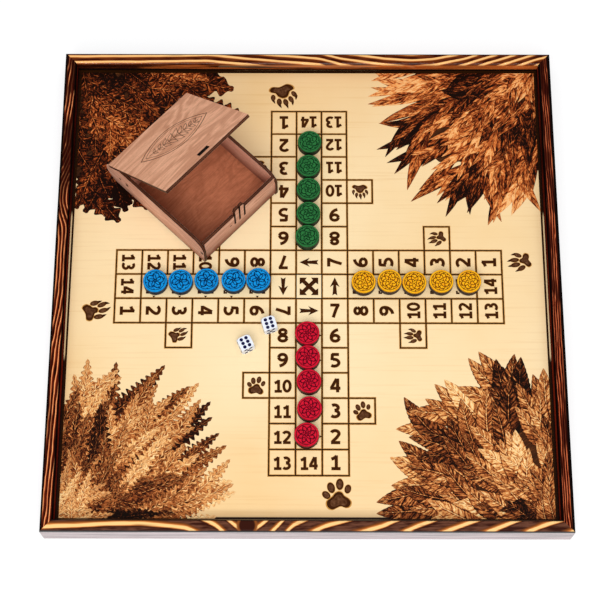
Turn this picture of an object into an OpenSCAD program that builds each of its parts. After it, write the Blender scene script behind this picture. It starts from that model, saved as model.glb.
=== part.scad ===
// A wooden cross-and-circle game board in a raised frame, with twenty tokens, two dice and a hinged box.
// Millimetres. The origin is on the table, under the middle of the board. +Y is away from the player, +Z up.

/* [Board] */
// Side of one square of the game track
cell = 23; // [23:0.5:26]
// Squares in a row along each arm of the cross
arm_squares = 6; // [6:1:7]
// Bare panel between the end of an arm and the rail
border = 41.5; // [41:0.5:60]
// Thickness of the playing panel
panel_t = 4; // [3:0.5:6]
// Height of the panel's underside above the table
panel_up = 13; // [8:0.5:16]
// How far the middle of the track lies to the right of the board's middle
track_x = 1.4; // [-3:0.1:3]
// How far the middle of the track lies behind the board's middle
track_y = -1.1; // [-3:0.1:3]
// Width of a burnt line of the track
line_w = 1.2; // [0.6:0.1:1.5]
// Depth of a burnt line
line_d = 0.3; // [0.2:0.1:0.8]
// Width of the dark line beside the left and right rails
edge_line_w = 1.8; // [1:0.1:2.5]
// Bare strip between that line and the rail
edge_strip = 1.2; // [1:0.1:3]

/* [Frame rails] */
// Width of a rail
rail_w = 11; // [10:0.5:18]
// Height of a rail
rail_h = 30; // [24:0.5:40]
// Radius of the rail's inner top edge
rail_inner_r = 2.6; // [1:0.1:4]
// Radius of the rail's outer top edge
rail_outer_r = 2.2; // [1:0.1:4]
// How deep the panel's groove goes into the rail
groove = 5; // [3:0.5:6]
// Length of each leg of a corner nail
nail_leg = 6; // [4:0.5:7]
// Height of a corner nail
nail_h = 8; // [5:0.5:12]
// Thickness of a corner nail's steel
nail_t = 0.6; // [0.4:0.1:1]
// Distance of a corner nail from the frame's outer faces
nail_in = 4; // [3:0.1:4]

/* [Tokens and dice] */
// Diameter of a token
token_d = 21.5; // [16:0.5:25]
// Least gap between two tokens that stand in a row, before each is nudged off its place
token_gap = 1.5; // [1.5:0.1:4]
// Thickness of a token
token_t = 9; // [5:0.5:12]
// Chamfer around a token's faces
token_chamfer = 0.5; // [0.2:0.1:1]
// Bare rim outside the engraved ring on a token
token_rim = 1.6; // [1:0.1:3]
// Width of the engraved ring on a token
ring_w = 0.7; // [0.4:0.1:1.2]
// Depth of the engraved ring on a token
ring_d = 0.4; // [0.2:0.1:0.8]
// Edge of a die
die = 12; // [10:0.5:14]
// Radius of a pip
pip_r = 1.3; // [0.8:0.05:1.4]
// Depth of a pip
pip_d = 0.45; // [0.2:0.05:0.8]

/* [Storage box] */
// Outer width of the box
box_w = 94; // [86:1:102]
// Length of the side walls, from the front edge to the tip of the round rear end
box_d = 124; // [112:1:130]
// Height of the box walls
box_h = 35; // [30:1:40]
// Thickness of the plywood
ply = 3; // [2.5:0.1:3.5]
// How far the side walls stand in front of the front wall
cheek = 1; // [0.5:0.1:3]
// Radius of the side walls' upper front corner
front_round = 13; // [6:1:16]
// Height of a tab through a side wall
tab_h = 5; // [3:0.5:10]
// Distance from the hinge pins to the rear wall
back_gap = 7.5; // [7:0.5:10]
// Turn of the box on the board
box_turn = 46.4; // [40:0.1:50]
// Place of the box's front left corner across the board
box_x = -91.8; // [-98:0.1:-88]
// Place of the box's front left corner along the board
box_y = 21.9; // [21.5:0.1:29]

/* [Lid and latch] */
// How far the closed lid stands in front of the side walls
lid_front = 5.2; // [4.5:0.1:7]
// How far the closed lid stands beside the side walls
lid_side = 2.5; // [1:0.1:5]
// How far the closed lid reaches behind the rear wall
lid_rear = 2.8; // [2:0.1:5]
// How far the lid stands open
lid_open = 41; // [0:1:105]
// Opening at which the lid's lugs meet the rear wall
lid_stop = 110; // [106:1:120]
// Gap under the closed lid
lid_gap = 0.3; // [0.2:0.1:0.6]
// Diameter of the hinge pins
pin_d = 3; // [2.5:0.5:4]
// Running clearance around a hinge pin, on the radius
pin_play = 0.08; // [0.02:0.01:0.1]
// Radius of a lug's round end
lug_r = 6; // [5:0.5:6.5]
// Length of a lug under the lid, in front of the pin
lug_reach = 20; // [15:1:30]
// Depth of a lug under the lid
lug_deep = 4.5; // [3:0.5:6]
// Width of one latch prong
prong_w = 4.9; // [4:0.1:6]
// Height of the latch prongs above the front wall
prong_h = 9; // [7:0.5:10]
// Width of the slits beside and between the prongs
slit_w = 1.2; // [0.8:0.1:2]
// Height of the slits' lower ends above the board
slit_low = 17; // [10:1:20]
// How far a prong's barb stands out
barb = 0.5; // [0.3:0.1:0.8]
// Clearance around the latch in the lid's slot
slot_play = 0.2; // [0.15:0.05:0.5]

/* [Hidden] */
$fn = 48;
EPS = 0.01;
TOKENS = 5;
ARM_WIDTH = 3;
TOKEN_GREEN = "#14693a";
TOKEN_RED = "#be1237";
TOKEN_BLUE = "#0a72d0";
TOKEN_YELLOW = "#f2b01e";
PLY = "#cf9a7c";
PLY_DARK = "#8c5037";
RAIL = "#3a1c10";
PANEL = "#f2d49c";
STEEL = "#b9bcc0";

function names(stem, count) = [for (i = [1 : count]) str(stem, i)];

// The track and the frame
arm_end = (arm_squares + ARM_WIDTH / 2) * cell;
inner_half = arm_end + border;
outer_half = inner_half + rail_w;
panel_gap = 0.3;
panel_half = inner_half + groove - panel_gap;
top_z = panel_up + panel_t;
half_arm = ARM_WIDTH / 2;

// The two boxed squares beside each arm: across and along, counted in squares from the middle
side_squares = [[-2, -4], [2, -5]];

// Distance between the places of two tokens in a row: one square, or more for tokens that need it
token_pitch = max(cell, token_d + token_gap);

// How far each token lies off its place, from the middle of the board outwards
green_off = [[-1.5, -1], [-0.5, -1.5], [-0.5, -1], [-0.5, -1], [0.5, 0]];
red_off = [[-1.5, -0.5], [-1, 0.5], [0, 1.5], [0.5, 0], [-2, -0.5]];
blue_off = [[1, 3.5], [2, 3], [1, 3], [1, 2], [1.5, 2]];
yellow_off = [[2.5, 1.5], [2.5, 2.5], [1.5, 1], [2.5, 2], [4, 2]];

// The dice: place of the middle and turn
die_left_at = [-54.1, -57.6];
die_left_turn = 26.5;
die_right_at = [-33.6, -39.6];
die_right_turn = 17.5;
die_corner_r = die * 0.76;
pip_ball = (pip_r * pip_r + pip_d * pip_d) / (2 * pip_d);
pip_row = die * 0.3;
pip_column = die * 0.19;

// The box, in its own frame: x across the front, y from the front to the rear, z up from the board
nose_r = box_h / 2;
pin_y = box_d - nose_r;
pin_z = nose_r;
front_y = cheek;
back_y = pin_y - back_gap - ply;
lid_z = box_h + lid_gap;
lid_rear_y = back_y + ply + lid_rear;
lid_l = lid_rear_y + lid_front;
lid_w = box_w + 2 * lid_side;
middle_x = box_w / 2;
latch_half = prong_w + slit_w / 2;
barb_z = lid_z + ply + 0.4;
tab_z = (box_h - tab_h) / 2;
lug_x = ply + lid_gap;
pin_l = lug_x + ply;
notch_z = lid_z - lug_deep - 1;
heel_r = back_gap - lid_gap;
prong_tip = 1;
heel_lift = 1;

// The slot clears the prongs' upper front corner as it comes down around the hinge
sweep_r = norm([pin_y - front_y, box_h + prong_h - pin_z]);
slot_front_y = pin_y - sqrt(sweep_r * sweep_r - (lid_z - pin_z) * (lid_z - pin_z)) - slot_play;
slot_back_y = front_y + ply + slot_play;
slot_half = latch_half + barb + slot_play;

// Burnt lines of the track
module line_across(x0, x1, y) {
    translate([x0 * cell - line_w / 2, y * cell - line_w / 2])
        square([(x1 - x0) * cell + line_w, line_w]);
}

module line_along(x, y0, y1) {
    translate([x * cell - line_w / 2, y0 * cell - line_w / 2])
        square([line_w, (y1 - y0) * cell + line_w]);
}

module square_outline(x, y) {
    line_across(x - 0.5, x + 0.5, y - 0.5);
    line_across(x - 0.5, x + 0.5, y + 0.5);
    line_along(x - 0.5, y - 0.5, y + 0.5);
    line_along(x + 0.5, y - 0.5, y + 0.5);
}

// One arm from its end to the middle of the board. The middle lane has no lines where the tokens stand.
module arm_lines() {
    reach = arm_squares + half_arm;
    for (x = [-half_arm : 1 : half_arm]) {
        line_along(x, -reach, 0);
    }
    for (y = [-reach, -reach + 1, -half_arm]) {
        line_across(-half_arm, half_arm, y);
    }
    for (k = [1 : arm_squares - 2]) {
        line_across(-half_arm, 1 - half_arm, -half_arm - k);
        line_across(half_arm - 1, half_arm, -half_arm - k);
    }
    for (s = side_squares) {
        square_outline(s[0], s[1]);
    }
}

module track_lines() {
    for (turn = [0, 90, 180, 270]) {
        translate([track_x, track_y]) rotate(turn) arm_lines();
    }
}

// Dark lines along the rails. The front and back ones reach the rail.
module edge_lines() {
    end_line_w = edge_line_w + edge_strip;
    for (side = [-1, 1]) {
        translate([side * (inner_half - edge_strip - edge_line_w / 2), 0])
            square([edge_line_w, 2 * inner_half], center = true);
        translate([0, side * (inner_half - end_line_w / 2)])
            square([2 * inner_half, end_line_w], center = true);
    }
}

module panel() {
    color(PANEL) difference() {
        translate([-panel_half, -panel_half, panel_up])
            cube([2 * panel_half, 2 * panel_half, panel_t]);
        translate([0, 0, top_z - line_d]) linear_extrude(line_d + EPS) {
            track_lines();
            edge_lines();
        }
    }
}

// What rounding takes off a square upper left corner that lies at the origin
module corner_waste(r) {
    translate([-EPS, -r]) difference() {
        square(r + EPS);
        translate([r + EPS, 0]) circle(r);
    }
}

// Section of a rail: the origin is at the foot of the inner face, x runs outwards
module rail_section() {
    difference() {
        square([rail_w, rail_h]);
        translate([0, rail_h]) corner_waste(rail_inner_r);
        translate([rail_w, rail_h]) mirror([1, 0]) corner_waste(rail_outer_r);
        translate([-EPS, panel_up]) square([groove + EPS, panel_t]);
    }
}

// One V nail across each mitre, driven in from below with a leg in either rail
module nails() {
    at = outer_half - nail_in;
    for (turn = [0, 90, 180, 270]) rotate([0, 0, turn]) translate([-at, -at, 0]) {
        cube([nail_leg, nail_t, nail_h]);
        cube([nail_t, nail_leg, nail_h]);
    }
}

module corner_nails() { color(STEEL) nails(); }

// One mitred rail, turned to its side of the board
module rail(turn) {
    color(RAIL) difference() {
        rotate([0, 0, turn]) intersection() {
            translate([-outer_half, -inner_half, 0]) rotate([90, 0, 90])
                linear_extrude(2 * outer_half) mirror([1, 0]) rail_section();
            linear_extrude(rail_h)
                polygon([[0, 0], [-outer_half, -outer_half], [outer_half, -outer_half]]);
        }
        nails();
    }
}

module rail_front() { rail(0); }
module rail_right() { rail(90); }
module rail_back() { rail(180); }
module rail_left() { rail(270); }

// A token with an engraved ring on its top
module token(at) {
    r = token_d / 2;
    ring_out = r - token_rim;
    translate([track_x + at[0], track_y + at[1], top_z]) rotate_extrude($fn = 64) polygon([
        [0, 0],
        [r - token_chamfer, 0],
        [r, token_chamfer],
        [r, token_t - token_chamfer],
        [r - token_chamfer, token_t],
        [ring_out, token_t],
        [ring_out, token_t - ring_d],
        [ring_out - ring_w, token_t - ring_d],
        [ring_out - ring_w, token_t],
        [0, token_t]
    ]);
}

// Distance of a token's place from the middle of the track
function token_out(i) = 2 * cell + (i - 1) * token_pitch;

module token_green(i) { color(TOKEN_GREEN) token([0, token_out(i)] + green_off[i - 1]); }
module token_red(i) { color(TOKEN_RED) token([0, -token_out(i)] + red_off[i - 1]); }
module token_blue(i) { color(TOKEN_BLUE) token([-token_out(i), 0] + blue_off[i - 1]); }
module token_yellow(i) { color(TOKEN_YELLOW) token([token_out(i), 0] + yellow_off[i - 1]); }

// Places of the pips on a face that shows a number
function pips(n) =
    n == 1 ? [[0, 0]] :
    n == 2 ? [[-1, -1], [1, 1]] :
    n == 3 ? [[-1, -1], [0, 0], [1, 1]] :
    n == 4 ? [[-1, -1], [-1, 1], [1, -1], [1, 1]] :
    n == 5 ? [[-1, -1], [-1, 1], [1, -1], [1, 1], [0, 0]] :
    [[-1, -1], [-1, 0], [-1, 1], [1, -1], [1, 0], [1, 1]];

module pip_face(n, face_turn) {
    rotate(face_turn) for (p = pips(n)) {
        translate([p[0] * pip_column, p[1] * pip_row, die / 2 + pip_ball - pip_d])
            sphere(pip_ball, $fn = 24);
    }
}

// A die that lies six up
module die_solid(at, turn) {
    color("white") translate([at[0], at[1], top_z + die / 2]) rotate([0, 0, turn]) difference() {
        intersection() {
            cube(die, center = true);
            sphere(die_corner_r, $fn = 48);
        }
        pip_face(6, [0, 0, 0]);
        pip_face(1, [180, 0, 0]);
        pip_face(5, [90, 0, 0]);
        pip_face(2, [-90, 0, 0]);
        pip_face(4, [0, 90, 0]);
        pip_face(3, [0, -90, 0]);
    }
}

module die_left() { die_solid(die_left_at, die_left_turn); }
module die_right() { die_solid(die_right_at, die_right_turn); }

// Puts a piece of the box where the box stands on the board
module on_board() {
    translate([box_x, box_y, top_z]) rotate([0, 0, box_turn]) children();
}

// Turns a piece of the closed lid to where the lid stands open
module lid_pose() {
    on_board() translate([0, pin_y, pin_z]) rotate([-lid_open, 0, 0])
        translate([0, -pin_y, -pin_z]) children();
}

// Stands an outline of y and z upright, as a plate that starts at x
module plate_along(x, t = ply) {
    translate([x, 0, 0]) rotate([90, 0, 90]) linear_extrude(t) children();
}

module box_floor() {
    color(PLY_DARK) on_board() translate([ply, front_y + ply, 0])
        cube([box_w - 2 * ply, back_y - front_y - ply, ply]);
}

// Outline of a side wall: square foot in front, round front corner, round rear end around the pin
module side_outline() {
    difference() {
        union() {
            square([pin_y, box_h]);
            translate([pin_y, pin_z]) circle(nose_r, $fn = 96);
        }
        translate([0, box_h]) corner_waste(front_round);
        translate([pin_y, pin_z]) circle(pin_d / 2);
        for (y = [front_y, back_y]) {
            translate([y, tab_z]) square([ply, tab_h]);
        }
    }
}

module box_side_left() { color(PLY) on_board() plate_along(0) side_outline(); }
module box_side_right() { color(PLY) on_board() plate_along(box_w - ply) side_outline(); }

// Right half of the front wall's outline, from its foot to the slit between the two spring prongs
function front_half() =
    let (end = box_w / 2, inner = end - ply, top = box_h + prong_h, side_slit = latch_half + slit_w)
    [
        [inner, 0],
        [inner, tab_z],
        [end, tab_z],
        [end, tab_z + tab_h],
        [inner, tab_z + tab_h],
        [inner, box_h],
        [side_slit, box_h],
        [side_slit, slit_low],
        [latch_half, slit_low],
        [latch_half, barb_z],
        [latch_half + barb, barb_z + barb],
        [latch_half + barb, barb_z + 3 * barb],
        [latch_half - prong_tip, top],
        [slit_w / 2 + prong_tip, top],
        [slit_w / 2, top - prong_tip],
        [slit_w / 2, slit_low]
    ];

// The front wall and its prongs are sawn from one piece
module front_outline() {
    right = front_half();
    left = [for (i = [len(right) - 1 : -1 : 0]) [-right[i][0], right[i][1]]];
    translate([middle_x, 0]) polygon(concat(right, left));
}

// Stands an outline of x and z upright, as a wall whose front face is at y
module wall_at(y) {
    translate([0, y + ply, 0]) rotate([90, 0, 0]) linear_extrude(ply) children();
}

module box_front() { color(PLY) on_board() wall_at(front_y) front_outline(); }

// The rear wall, notched at both ends where the lid's lugs pass
module box_back() {
    notch_w = ply + 2 * lid_gap;
    color(PLY) on_board() wall_at(back_y) difference() {
        union() {
            translate([ply, 0]) square([box_w - 2 * ply, box_h]);
            translate([0, tab_z]) square([box_w, tab_h]);
        }
        translate([ply - EPS, notch_z]) square([notch_w + EPS, box_h]);
        translate([box_w - ply - notch_w, notch_z]) square([notch_w + EPS, box_h]);
    }
}

module hinge_pin(x) {
    color(PLY_DARK) on_board() translate([x, pin_y, pin_z]) rotate([0, 90, 0])
        cylinder(h = pin_l, d = pin_d);
}

module hinge_pin_left() { hinge_pin(0); }
module hinge_pin_right() { hinge_pin(box_w - pin_l); }

module lid_plate() {
    color(PLY) lid_pose() difference() {
        translate([-lid_side, -lid_front, lid_z]) cube([lid_w, lid_l, ply]);
        translate([middle_x - slot_half, slot_front_y, lid_z - EPS])
            cube([2 * slot_half, slot_back_y - slot_front_y, ply + 2 * EPS]);
    }
}

// Outline of a lug: arm under the lid, round end about the pin, and a heel that meets the rear wall
module lug_outline() {
    under = lid_z - pin_z;
    difference() {
        translate([pin_y, pin_z]) union() {
            circle(lug_r);
            polygon([
                [lug_r, 0],
                [lug_r, lug_r],
                [lid_rear_y - pin_y, under],
                [-lug_reach, under],
                [-lug_reach, under - lug_deep],
                [-heel_r, under - lug_deep],
                [-lug_r, 0]
            ]);
            rotate(lid_stop) translate([-heel_r, heel_lift - lug_r])
                square([heel_r, lug_r - heel_lift]);
        }
        translate([pin_y, pin_z]) circle(pin_d / 2 + pin_play);
    }
}

module lid_lug(x) { color(PLY) lid_pose() plate_along(x) lug_outline(); }
module lid_lug_left() { lid_lug(lug_x); }
module lid_lug_right() { lid_lug(box_w - lug_x - ply); }

panel();
rail_front();
rail_right();
rail_back();
rail_left();
corner_nails();
for (i = [1 : TOKENS]) {
    token_green(i);
    token_red(i);
    token_blue(i);
    token_yellow(i);
}
die_left();
die_right();
box_floor();
box_side_left();
box_side_right();
box_front();
box_back();
hinge_pin_left();
hinge_pin_right();
lid_plate();
lid_lug_left();
lid_lug_right();
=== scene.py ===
import random
from functools import reduce
from math import atan2, cos, pi, radians, sin

import bpy
from mathutils import Matrix, Vector


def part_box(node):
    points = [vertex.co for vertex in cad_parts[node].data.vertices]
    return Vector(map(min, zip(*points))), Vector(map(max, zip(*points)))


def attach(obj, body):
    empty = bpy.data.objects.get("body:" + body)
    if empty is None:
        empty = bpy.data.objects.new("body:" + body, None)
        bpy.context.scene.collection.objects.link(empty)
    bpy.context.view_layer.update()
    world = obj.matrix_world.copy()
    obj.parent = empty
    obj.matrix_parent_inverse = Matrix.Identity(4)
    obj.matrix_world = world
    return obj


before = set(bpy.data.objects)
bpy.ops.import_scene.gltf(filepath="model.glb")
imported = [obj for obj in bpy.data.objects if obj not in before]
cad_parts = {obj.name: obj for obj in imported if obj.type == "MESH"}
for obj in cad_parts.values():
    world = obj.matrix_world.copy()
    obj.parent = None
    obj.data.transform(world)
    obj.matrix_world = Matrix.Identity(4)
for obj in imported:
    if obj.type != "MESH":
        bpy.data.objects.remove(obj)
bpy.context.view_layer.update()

MM = 0.001
scene = bpy.context.scene

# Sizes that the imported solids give
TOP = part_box("panel")[1].z
TOKEN_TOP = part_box("token_red_1")[1].z
rail_low, rail_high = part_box("rail_front")
RAIL = rail_high.y - rail_low.y
RAIL_TOP = rail_high.z
INNER = rail_high.x - RAIL

# Sizes and places of the design. DIE_BALL is the ball that rounds a die's corners, in halves of its edge
CELL = 23 * MM
TRACK = (1.4 * MM, -1.1 * MM)
GROOVE = 1.2 * MM
ARM_TURNS = {"bottom": 0, "right": 90, "top": 180, "left": 270}
TOKENS = 5
DIE_TURN = {"die_left": 26.5, "die_right": 17.5}
DIE_BALL = 1.52
BOX_TURN = radians(46.4)
BOX_AT = Vector((-91.8 * MM, 21.9 * MM, TOP))
BOX_WIDTH = 94 * MM
PLY = 3 * MM
FRONT_WALL = 1 * MM
BACK_WALL = 96 * MM
LUG_MIDDLE = 4.8 * MM
LID_OPEN = radians(41)
LID_PIN = Vector((0, 106.5, 17.5)) * MM
LID_TOP = 38.3 * MM
SLOT_Y = 1.6 * MM

# The camera stands where the photograph was taken from
CAMERA_AT = Vector((-4.39, -502.06, 1385.1)) * MM
CAMERA_TURN = Vector((19.633, 0.066, 0.122))
CAMERA_LENS = 98.06

# Heights of what is burnt or painted. Each mark lies a step above the last, in turns of LEVELS, so that marks
# which overlap aren't in one plane
SCORCH_LIFT = 0.01 * MM
GROUND_LIFT = 0.025 * MM
MARK_LIFT = 0.05 * MM
LEAF_LIFT = 0.07 * MM
TOKEN_LIFT = 0.02 * MM
DIE_LIFT = 0.01 * MM
BOX_LIFT = 0.03 * MM
MARK_STEP = 0.003 * MM
LEVELS = 12
# Limit of the mitre at a ribbon's bends
SHARPEST = 0.5


def rgb(red, green, blue):
    """Linear colour of an 8-bit one."""
    def linear(value):
        value /= 255
        return value / 12.92 if value <= 0.04045 else ((value + 0.055) / 1.055) ** 2.4
    return (linear(red), linear(green), linear(blue), 1)


class Nodes:
    """A node tree, with short names for the nodes that are added to it."""

    def __init__(self, tree):
        self.tree = tree

    def put(self, socket, value):
        if isinstance(value, bpy.types.NodeSocket):
            self.tree.links.new(value, socket)
        else:
            socket.default_value = value

    def new(self, kind, inputs=(), **settings):
        """A new node, with its inputs, in order or by name, set or joined to the values."""
        node = self.tree.nodes.new("ShaderNode" + kind)
        for name, value in settings.items():
            setattr(node, name, value)
        for key, value in inputs.items() if isinstance(inputs, dict) else enumerate(inputs):
            self.put(node.inputs[key], value)
        return node

    def math(self, operation, a, b=0.0, c=0.0):
        return self.new("Math", (a, b, c), operation=operation).outputs[0]

    def fold(self, operation, values):
        return reduce(lambda a, b: self.math(operation, a, b), values)

    def add(self, *values):
        return self.fold("ADD", values)

    def times(self, *values):
        return self.fold("MULTIPLY", values)

    def most(self, *values):
        return self.fold("MAXIMUM", values)

    def minus(self, a, b):
        return self.math("SUBTRACT", a, b)

    def abs(self, value):
        return self.math("ABSOLUTE", value)

    def vector(self, operation, a, b=(0, 0, 0), output=0):
        return self.new("VectorMath", (a, b), operation=operation).outputs[output]

    def dot(self, a, b):
        return self.vector("DOT_PRODUCT", a, b, "Value")

    def length(self, vector):
        return self.vector("LENGTH", vector, output="Value")

    def split(self, vector):
        return self.new("SeparateXYZ", (vector,)).outputs

    def join(self, x, y, z=0.0):
        return self.new("CombineXYZ", (x, y, z)).outputs[0]

    def noise(self, vector, scale, detail=2.0, roughness=0.5, distortion=0.0):
        return self.new("TexNoise", {
            "Vector": vector, "Scale": scale, "Detail": detail, "Roughness": roughness,
            "Distortion": distortion}).outputs["Fac"]

    def grain(self, vector, scales, detail, roughness=0.5, distortion=0.0):
        """Noise of another scale along each axis."""
        return self.noise(self.vector("MULTIPLY", vector, scales), 1.0, detail, roughness, distortion)

    def step(self, value, low, high):
        """0 below low, 1 above high, smooth between; low may be the larger one."""
        ends = (high, low, 1.0, 0.0) if low > high else (low, high, 0.0, 1.0)
        return self.new("MapRange", (value, *ends), interpolation_type="SMOOTHSTEP").outputs[0]

    def through(self, value, knots, soft):
        """A line through the (value, result) pairs, with its bends rounded."""
        slopes = [(b[1] - a[1]) / (b[0] - a[0]) for a, b in zip(knots, knots[1:])]
        line = self.math("MULTIPLY_ADD", value, slopes[0], knots[0][1] - slopes[0] * knots[0][0])
        for (place, _), before, after in zip(knots[1:], slopes, slopes[1:]):
            bend = self.math("SMOOTH_MAX", self.minus(value, float(place)), 0.0, soft)
            line = self.math("MULTIPLY_ADD", bend, after - before, line)
        return line

    def mix(self, factor, a, b, blend="MIX"):
        return self.new("Mix", {0: factor, 6: a, 7: b}, data_type="RGBA", blend_type=blend).outputs[2]

    def tint(self, base, tone, share, value, low, high):
        """The base with a share of the tone where the value is beyond high."""
        return self.mix(self.times(self.step(value, low, high), share), base, tone)

    def ramp(self, value, *stops):
        node = self.new("ValToRGB", (value,))
        elements = node.color_ramp.elements
        while len(elements) < len(stops):
            elements.new(0.5)
        for element, (position, colour) in zip(elements, stops):
            element.position = position
            element.color = colour
        return node.outputs[0]

    def turned(self, vector, angle, centre=(0, 0, 0)):
        """The vector as seen from a frame at centre that is turned by angle about Z."""
        moved = self.vector("SUBTRACT", vector, centre)
        c, s = cos(angle), sin(angle)
        return self.join(*(self.dot(moved, axis) for axis in ((c, s, 0), (-s, c, 0), (0, 0, 1))))


class Shader(Nodes):
    """A material with one Principled shader."""

    def __init__(self, name, roughness=0.5, specular=0.04, coat_roughness=0.1, coat_index=1.4):
        self.material = bpy.data.materials.new(name)
        self.material.use_nodes = True
        super().__init__(self.material.node_tree)
        self.tree.nodes.clear()
        self.bsdf = self.new("BsdfPrincipled", {
            "Roughness": roughness, "Specular IOR Level": specular, "Coat Roughness": coat_roughness,
            "Coat IOR": coat_index})
        self.new("OutputMaterial", {"Surface": self.bsdf.outputs["BSDF"]})
        coords = self.new("TexCoord").outputs
        self.place, self.normal = coords["Object"], coords["Normal"]

    def set(self, name, value):
        self.put(self.bsdf.inputs[name], value)

    def bump(self, height, distance, strength):
        self.set("Normal", self.new("Bump", {
            "Height": height, "Distance": distance, "Strength": strength}).outputs[0])

    def colour(self, value):
        self.set("Base Color", value)
        return self.material


# Materials

# Where the panel is burnt along its sides, but for their middle, and where a dark band runs along the front
SIDE_SCORCH = (INNER - 2.2 * MM, INNER - 1.6 * MM)
SCORCH_ENDS = (64 * MM, 72 * MM)
FRONT_DARK_BAND = (4.7 * MM - INNER, 3.9 * MM - INNER)
PANEL_COAT = 0.15


def panel_material():
    """Varnished pale plywood, with painted light in its colour: paler in the middle, darker towards the back,
    the front and the rails. Whatever lies below its surface is a burnt line.
    """
    s = Shader("pale_plywood", roughness=0.42, coat_roughness=0.2)
    x, y, z = s.split(s.place)
    cloud = s.noise(s.place, 6.0, 4.0, 0.55)
    grain = s.grain(s.place, (9, 420, 1), 4.0, 0.6)
    figure = s.grain(s.place, (5, 38, 1), 3.0, 0.5, 0.6)
    wood = s.ramp(cloud, (0.3, rgb(244, 208, 152)), (0.52, rgb(249, 218, 168)), (0.75, rgb(252, 226, 180)))
    wood = s.tint(wood, rgb(222, 176, 116), 0.3, grain, 0.5, 0.75)
    wood = s.tint(wood, rgb(232, 188, 126), 0.25, figure, 0.55, 0.8)
    # Paler towards the middle: a painted pool of light
    middle = s.length(s.join(s.add(x, 0.05), y))
    wood = s.tint(wood, rgb(253, 235, 194), 0.55, middle, 0.18, 0.05)
    # Darker towards the back and towards the front: painted falloff of the light
    wood = s.tint(wood, rgb(220, 162, 86), 0.28, y, 0.1, 0.215)
    wood = s.tint(wood, rgb(240, 196, 134), 0.25, y, -0.09, -0.2)
    wide, deep = s.abs(x), s.abs(y)
    side, other = s.most(wide, deep), s.math("MINIMUM", wide, deep)
    # Darker towards the rails: painted shade along their foot
    wood = s.tint(wood, rgb(196, 146, 88), 0.2, side, INNER - 12 * MM, INNER)
    scorch = s.times(s.step(side, *SIDE_SCORCH), s.step(other, *SCORCH_ENDS))
    wood = s.mix(s.most(scorch, s.step(y, *FRONT_DARK_BAND)), wood, rgb(26, 8, 3))
    burnt = s.step(z, TOP - 0.03 * MM, TOP - 0.12 * MM)
    below = s.step(z, TOP - 0.8 * MM, TOP - 0.6 * MM)
    char = s.ramp(grain, (0.3, rgb(24, 9, 0)), (0.7, rgb(48, 22, 2)))
    s.bump(grain, 0.05 * MM, 0.5)
    s.set("Coat Weight", s.math("MULTIPLY_ADD", burnt, -PANEL_COAT, PANEL_COAT))
    return s.colour(s.mix(s.times(burnt, below), wood, char))


# Each rail's grain, in mm. knots: places along, and the streaks passed so far on the rail's middle line;
# bands: streaks across per mm; wave, fray: how uneven they are; gold, fringe: share of their bright part and
# its brown edge; glow: share of a warmer tone between them; knot: place, half length and half width; scorch:
# how much is burnt over; charred: between which places that grows; rim, arris, foot: where the burnt outer
# edge, the darkened inner edge and the painted shade at the inner foot start, from the panel and down from
# the top; tones: pale, middle, dark and warmer grain, darker and paler side; lean: how much paler the side
# gets along the rail; coat: varnish on the top and on the sides, and its index
RAILS = {
    "rail_front": dict(
        bands=0.075, wave=0.12, fray=0.12, gold=0.25, fringe=0.2, glow=0.85, scorch=0.1, rim=9.5,
        knots=((-225, 2.4), (-200, 2.45), (-165, 2.6), (-138, 2.62), (-101, 2.35), (-76, 1.5), (-61, 0.5),
               (-50, 0), (-39, 0.5), (-24, 1.5), (-13, 2.5), (16, 3.5), (64, 4.5), (93, 5.5), (129, 6.5),
               (165, 7.5), (197, 8.5), (225, 9.2)),
        knot=(-50.5, 7.5, 8.0),
        # The side tones are pale lilac greys: a painted reflection of the white floor on the front face, over
        # the dark wood
        tones=((254, 206, 136), (206, 118, 52), (54, 22, 14), (112, 70, 52), (136, 110, 114),
               (203, 172, 173)),
        coat=(0.03, 1.0, 1.6)),
    "rail_back": dict(
        bands=0.17, wave=0.22, fray=0.18, gold=0.38, fringe=0.24, scorch=0.05, rim=8.8, arris=-2.0, foot=-9.0,
        lean=0.0009,
        knots=((-225, 0.16), (-150, 0.05), (-91, -0.1), (-57, 0.5), (11, 1.5), (31, 2.5), (72, 3.5),
               (97, 3.8), (118, 3.5), (146, 2.5), (162, 1.5), (180, 0.5), (198, -0.5), (214, -1.5),
               (225, -2.0)),
        tones=((254, 200, 128), (196, 104, 42), (54, 12, 3), (128, 58, 24), (46, 11, 4), (200, 106, 46)),
        coat=(0.03, 1.0, 1.5)),
    "rail_left": dict(
        bands=0.33, wave=1.1, fray=0.4, scorch=0.45, charred=(20, 120), rim=8.4,
        knots=((-225, 0), (-60, 2.5), (-10, 4.6), (50, 4.6), (75, 2.3), (90, 2.3), (130, 7.2), (225, 10)),
        tones=((246, 164, 104), (186, 74, 34), (26, 3, 1), (104, 30, 14), (24, 7, 4), (118, 34, 20))),
    "rail_right": dict(
        bands=0.5, wave=1.4, fray=0.9, scorch=0.85, charred=(110, 190), rim=7.6, arris=1.2,
        knots=((-225, 0), (-80, 1.4), (60, 0.6), (225, 2.6)),
        tones=((216, 118, 74), (150, 50, 20), (34, 4, 2), (88, 24, 12), (28, 10, 5), (128, 41, 22))),
}


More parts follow.
